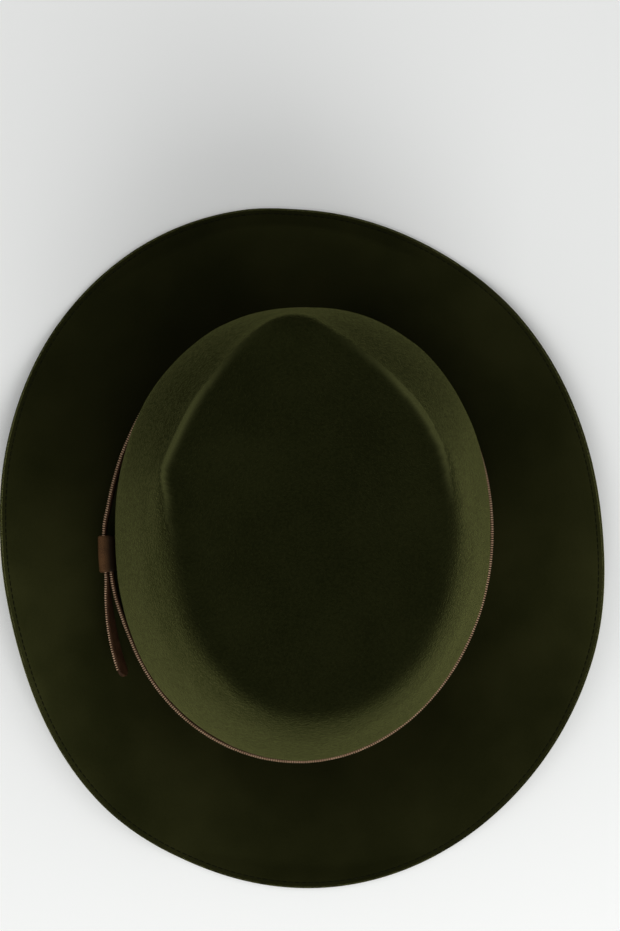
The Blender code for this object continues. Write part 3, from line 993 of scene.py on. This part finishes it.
def strap_line(turns):
    """Middle of the strap at each turn, with the ways out of the crown and up the strap."""
    stack, swing, lean = (column(STRAP_OUTER_RUN, name, turns) for name in ("stack", "swing", "lean"))
    low, high = STRAP_INNER_RAMP
    start = INNER_LAYER * rising(high - (turns + 360), 0, high - low)
    lift = np.where(turns < 0, start, OUTER_LAYER * stack + TAIL_SWING * swing)
    plan = crown_foot(-turns, CLEARANCE + STRAP_THICKNESS / 2 + lift)
    run = unit(np.gradient(plan, axis=0))
    out = np.stack((-run[:, 1], run[:, 0], np.zeros(len(turns))), -1)
    out *= np.sign((out[:, :2] * (plan - (0, -CROWN_FORWARD))).sum(-1))[:, None]
    lean = np.radians(TAIL_LEAN * np.where(turns < 0, 0, lean))[:, None]
    reach = STRAP_HEIGHT / 2 * np.cos(lean) + STRAP_THICKNESS / 2 * np.sin(lean)
    middle = np.concatenate((plan, STRAP_BOTTOM + reach), -1)
    up = np.array((0, 0, 1.0))
    return middle, out * np.cos(lean) - up * np.sin(lean), out * np.sin(lean) + up * np.cos(lean)


STRAP_END = STRAP_OUTER_RUN[-1].turn
strap_turns = np.linspace(STRAP_START - 360, STRAP_END, STRAP_POINTS)
strap_middle, strap_out, strap_up = strap_line(strap_turns)
strap_steps = np.linalg.norm(np.diff(strap_middle, axis=0), axis=-1)
strap_length = np.concatenate(([0], np.cumsum(strap_steps)))
strap_left = strap_length[-1] - strap_length
print("the strap is", round(float(strap_length[-1]), 3), "m long")

# %% [markdown]
# ## The strap and its ribs
#
# The strap is a flat band with a softly rounded section and a rounded tip. A sweep of a profile
# would make its tip thin as well as low, so a second tree lays a grid along the line: each row of
# the grid takes one point of the line, and its columns go round the section. The cross ribs wrap
# over the strap's outer face and both its edges, so they are the bars of the first tree, as tall as
# the strap, and the smooth band shows only on the inner face and at the tip.


# %% The tree that lays a band along a line
MERGE_DISTANCE = 1e-6


def band_tree(name, stations, sides):
    """A closed band round a line, with a section that a power makes squarer."""
    sizes = [(label, "Float") for label in ("Height", "Thickness", "Roundness")]
    tree, start = new_tree(name, *sizes, ("Material", "Material"))
    counts = {"Vertices X": stations, "Vertices Y": sides + 1}
    grid = start.node("GeometryNodeMeshGrid", None, counts, "Mesh")
    index = start.node("GeometryNodeInputIndex")
    station = index.maths("FLOOR", index / (sides + 1.0))
    turn = (index - station * (sides + 1.0)) * (2 * math.pi / sides)

    def at_station(value, kind="FLOAT_VECTOR"):
        """What the line holds at the point that a row of the grid takes."""
        settings = {"data_type": kind, "domain": "POINT"}
        inputs = {"Geometry": start, "Value": value, "Index": station}
        return start.node("GeometryNodeSampleIndex", settings, inputs, "Value")

    def squared(wave):
        return wave.maths("SIGN", wave) * wave.maths("ABSOLUTE", wave) ** start.twin("Roundness")

    middle = at_station(start.node("GeometryNodeInputPosition"))
    full = at_station(line_value(start, "full", "FLOAT"), "FLOAT")
    outwards = squared(turn.maths("COSINE", turn)) * start.twin("Thickness") * 0.5
    upwards = squared(turn.maths("SINE", turn)) * start.twin("Height") * 0.5 * full
    across = index.vector_maths("SCALE", at_station(line_value(start, "face")), outwards)
    tall = index.vector_maths("SCALE", at_station(line_value(start, "lie")), upwards)
    there = index.vector_maths("ADD", index.vector_maths("ADD", middle, across), tall)
    laid = start.node("GeometryNodeSetPosition", None, {"Geometry": grid, "Position": there})
    merging = {"Geometry": laid, "Distance": MERGE_DISTANCE}
    closed = start.node("GeometryNodeMergeByDistance", None, merging)
    smooth = start.node("GeometryNodeSetShadeSmooth", None, {"Geometry": closed})
    finish_tree(smooth, start.twin("Material"))
    return tree


STRAP_SIDES = 20
STRAP_ROUNDNESS = 0.42
RIB_STEP = 0.00105
RIB_WIDTH = 0.00100
RIB_DEPTH = 0.0020
RIB_PROUD = 0.00035
RIBS_END_BEFORE_TIP = 0.0035
STRAP_START_ROUND = 0.002
band = band_tree("band_along_a_line", STRAP_POINTS, STRAP_SIDES)
print("the tree of the band has", len(band.nodes), "nodes")

# %% [markdown]
# ## Leather
#
# The strap's ribs are pale tan leather, made paler as a painted highlight, and the smooth band
# behind them is dark brown, darkened further as painted shade. The keeper is plain leather with
# painted light and shade, darker towards the crown and lighter brown on its outer side. All get a
# fine grain of small cells, with creases between the cells, and a gloss that changes a little from
# place to place.


# %% Leather finishes
LEATHER_SHINE = 0.06
CREASE_WIDTH = 0.22
CREASE_DEPTH_SHARE = 0.12
TONE_SIZE = 0.006
TONE_SHARE = 0.7
GLOSS_CHANGE = 0.16
PAINTED_LIGHT_LEAST, PAINTED_LIGHT_MORE = 0.6, 0.7


def leather_material(name, dark, light, roughness, grain, painted_light=False):
    """Leather between two colours. If painted_light, that attribute paints light and shade over it.
    """
    material, shader, here = new_material(name, roughness, Specular_IOR_Level=LEATHER_SHINE)
    inputs = {"Vector": here, "Scale": 1 / grain}
    cells = here.node("ShaderNodeTexVoronoi", {"feature": "DISTANCE_TO_EDGE"}, inputs, "Distance")
    pebble = cells.between(0.0, CREASE_WIDTH)
    tone = speckle(here, TONE_SIZE, detail=4.0)
    shade = (tone * TONE_SHARE + pebble * (1 - TONE_SHARE)).between(0.25, 0.75)
    if painted_light:
        # Painted light and shade from the attribute scale the leather's tone.
        shade = vertex_value(here, "painted_light") * (PAINTED_LIGHT_LEAST + PAINTED_LIGHT_MORE * shade)
    connect(
        shader,
        Base_Color=shade.colour(dark, light),
        Roughness=(roughness + GLOSS_CHANGE * (tone - 0.5)).clamped(),
        Normal=bump(pebble, grain * CREASE_DEPTH_SHARE, 0.5),
    )
    return material


# Dark brown leather, darkened further as painted shade.
strap_leather = leather_material(
    "strap_leather_smooth_painted_shade", rgb(0.020, 0.009, 0.004), rgb(0.055, 0.027, 0.013), 0.6, 0.0007
)
# Pale tan leather, made paler as a painted highlight.
rib_leather_painted_highlight = leather_material(
    "strap_ribs_painted_highlight", rgb(0.380, 0.225, 0.130), rgb(0.680, 0.470, 0.310), 0.6, 0.0005
)
keeper_leather = leather_material(
    "keeper_leather_plain",
    rgb(0.008, 0.004, 0.001),
    rgb(0.092, 0.044, 0.017),
    0.55,
    0.0008,
    painted_light=True,
)
print("leathers:", strap_leather.name, rib_leather_painted_highlight.name, keeper_leather.name)


# %% Making the strap
def make_strap():
    to_tip = np.clip(1 - strap_left / STRAP_TIP, 0, 1)
    to_start = np.clip(1 - strap_length / STRAP_START_ROUND, 0, 1)
    full = np.sqrt(np.clip(1 - np.maximum(to_tip, to_start) ** 2, 0, 1))
    behind = strap_middle - strap_out * RIB_PROUD / 2
    line = line_object("band_strap_leather", behind, False, face=strap_out, lie=strap_up, full=full)
    return grow(
        line,
        band,
        Height=STRAP_HEIGHT - 2 * RIB_PROUD,
        Thickness=STRAP_THICKNESS - RIB_PROUD,
        Roundness=STRAP_ROUNDNESS,
        Material=strap_leather,
    )


def make_ribs():
    sewn = (strap_left > RIBS_END_BEFORE_TIP) * 1.0
    ahead = strap_middle + strap_out * (STRAP_THICKNESS - RIB_DEPTH) / 2
    line = line_object("band_strap_ribs", ahead, False, face=strap_out, lie=strap_up, sewn=sewn)
    return grow(
        line,
        bars,
        Step=RIB_STEP,
        Length=STRAP_HEIGHT,
        Width=RIB_WIDTH,
        Proud=RIB_DEPTH / 2,
        Material=rib_leather_painted_highlight,
    )


strap = make_strap()
ribs = make_ribs()
for piece in (strap, ribs):
    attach(piece, "root")
    print(piece.name, "has", len(piece.data.polygons), "faces")
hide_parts("band_strap")

# %% [markdown]
# ## The keeper
#
# The keeper is a flat loop bent round both layers of the strap. Its section is a frame: a skin
# outside and a hole inside, both with soft corners. Rows of that section along the strap, drawn in a
# little at each end, give the loop its rounded lips. Its vertices hold painted light and shade, from
# painted shade at the side at the crown to painted light on the outer side.


# %% Making the keeper
KEEPER_ROWS = 25
KEEPER_CORNER_STEPS = 6
KEEPER_SOFT_CORNER = 0.0012
KEEPER_HOLE_CORNER = KEEPER_SOFT_CORNER * 0.6
KEEPER_LIP = 0.0006
KEEPER_PAINTED_LIGHT = (-1.4, 1.6)
KEEPER_PAINTED_LIGHT_LATE = 2.4


def soft_oblong(half_width, half_height, radius):
    """Points round an oblong with round corners, as (outward, up) pairs."""
    points = []
    for k, (x, z) in enumerate(((1, -1), (1, 1), (-1, 1), (-1, -1))):
        for step in range(KEEPER_CORNER_STEPS + 1):
            a = math.radians(-90 + 90 * k + 90 * step / KEEPER_CORNER_STEPS)
            points.append((
                x * (half_width - radius) + radius * math.cos(a),
                z * (half_height - radius) + radius * math.sin(a),
            ))
    return np.array(points)


def make_keeper():
    inside, outside = INNER_LAYER, CLEARANCE + OUTER_LAYER + STRAP_THICKNESS + CLEARANCE
    low, high = STRAP_BOTTOM - CLEARANCE, STRAP_BOTTOM + STRAP_HEIGHT + CLEARANCE
    half_gap, half_height = (outside - inside) / 2, (high - low) / 2
    radius = float(np.linalg.norm(crown_foot(-KEEPER_TURN) - (0, -CROWN_FORWARD)))
    turn_span = math.degrees(KEEPER_LENGTH / radius)
    rows = []
    for side, to_side in (("skin", 1), ("hole", -1)):
        for share in np.linspace(-1, 1, KEEPER_ROWS)[::to_side]:
            end = max(0.0, 1 - (1 - abs(share)) * KEEPER_LENGTH / 2 / KEEPER_LIP)
            drawn_in = KEEPER_LEAF / 2 * (1 - math.sqrt(max(1 - end**2, 0)))
            leaf = KEEPER_LEAF - drawn_in if side == "skin" else drawn_in
            corner = KEEPER_SOFT_CORNER + leaf if side == "skin" else KEEPER_HOLE_CORNER
            outline = soft_oblong(half_gap + leaf, half_height + leaf, min(corner, half_gap + leaf))
            turn = np.full(len(outline), KEEPER_TURN + turn_span * share / 2)
            plan = crown_foot(-turn, (inside + outside) / 2 + outline[:, 0])
            rows.append(np.concatenate((plan, (low + high) / 2 + outline[:, 1:]), -1))
    count = len(rows[0])
    # Painted shade towards the crown and painted light on the outer side.
    painted_light = rising(outline[:, 0] / half_gap, *KEEPER_PAINTED_LIGHT) ** KEEPER_PAINTED_LIGHT_LATE
    faces = []
    for r in range(len(rows)):
        following = (r + 1) % len(rows)
        for i in range(count):
            k = (i + 1) % count
            faces.append((r * count + i, following * count + i, following * count + k, r * count + k))
    mesh = bpy.data.meshes.new("band_keeper_leather")
    mesh.from_pydata(np.concatenate(rows).tolist(), [], faces)
    store(mesh, "painted_light", np.tile(painted_light, len(rows)))
    mesh.shade_smooth()
    mesh.materials.append(keeper_leather)
    return new_object("band_keeper_leather", mesh)


keeper = make_keeper()
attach(keeper, "root")
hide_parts("band_keeper")
print(keeper.name, "has", len(keeper.data.polygons), "faces")

# %% [markdown]
# ## Which way is out
#
# A mesh made from rows of points can come out inside out. The volume that a closed mesh encloses,
# summed over its triangles, is positive only if its faces point outwards, so the sum is a quick test.


# %% Turning faces outwards
def enclosed(mesh):
    mesh.calc_loop_triangles()
    points = np.array([v.co for v in mesh.vertices])
    corners = points[np.array([t.vertices for t in mesh.loop_triangles])]
    sides = np.cross(corners[:, 1], corners[:, 2])
    return float(np.einsum("ij,ij->i", corners[:, 0], sides).sum() / 6)


for piece in (felt, top_stitches, under_stitches, strap, ribs, keeper):
    if enclosed(piece.data) < 0:
        piece.data.flip_normals()
    print(piece.name, "encloses", round(enclosed(piece.data) * 1e6, 3), "cubic centimetres")

# %% [markdown]
# ## Floor, light and camera
#
# The hat lies on a plain pale floor. One soft box behind it, a little to the wearer's right, makes
# the floor paler there and the crown's walls glow, and an even pale surrounding fills the rest.


# %% Floor and light
FLOOR_SIZE = 14.0
FLOOR_COLOUR = rgb(0.90, 0.91, 0.90)
HAT_MIDDLE = (0.0, 0.0, 0.05)
BOX_PLACE = (-0.25, 1.0, 0.9)
BOX_SIZE = 0.9
BOX_WATTS = 10.0
ROOM_STRENGTH = 0.66


def make_floor():
    half = FLOOR_SIZE / 2
    mesh = bpy.data.meshes.new("floor")
    corners = [(-half, -half, 0), (half, -half, 0), (half, half, 0), (-half, half, 0)]
    mesh.from_pydata(corners, [], [(0, 1, 2, 3)])
    material, _, _ = new_material(
        "pale_floor", 0.9, Specular_IOR_Level=0.1, Base_Color=FLOOR_COLOUR
    )
    mesh.materials.append(material)
    return new_object("floor", mesh)


def soft_box(name, place, aim, size, watts):
    light = bpy.data.lights.new(name, "AREA")
    light.shape, light.size, light.energy = "SQUARE", size, watts
    lamp = new_object(name, light)
    lamp.location = place
    lamp.rotation_euler = (Vector(aim) - Vector(place)).to_track_quat("-Z", "Y").to_euler()


make_floor()
soft_box("rear_box", BOX_PLACE, HAT_MIDDLE, BOX_SIZE, BOX_WATTS)
world = bpy.data.worlds.new("pale_room")
world.use_nodes = True
background = world.node_tree.nodes["Background"]
background.inputs["Color"].default_value = rgb(1.0, 1.0, 1.0)
background.inputs["Strength"].default_value = ROOM_STRENGTH
bpy.context.scene.world = world
bpy.context.scene.view_settings.view_transform = "Standard"

# %% [markdown]
# The camera looks straight down from one and a half metres. The front of the hat is at the top of
# the picture, so the camera is turned half round.

# %% Camera
CAMERA_PLACE = (-0.0034, -0.0376, 1.5)
CAMERA_LENS = 125.97
CAMERA_SENSOR = 36.0
CAMERA_NEAR = 0.01

camera = new_object("camera", bpy.data.cameras.new("camera"))
camera.data.lens = CAMERA_LENS
camera.data.sensor_width = CAMERA_SENSOR
camera.data.clip_start = CAMERA_NEAR
camera.location = CAMERA_PLACE
camera.rotation_euler = (0, 0, math.pi)
bpy.context.scene.camera = camera
print("camera:", [round(v, 4) for v in camera.location], "lens", CAMERA_LENS, "mm")
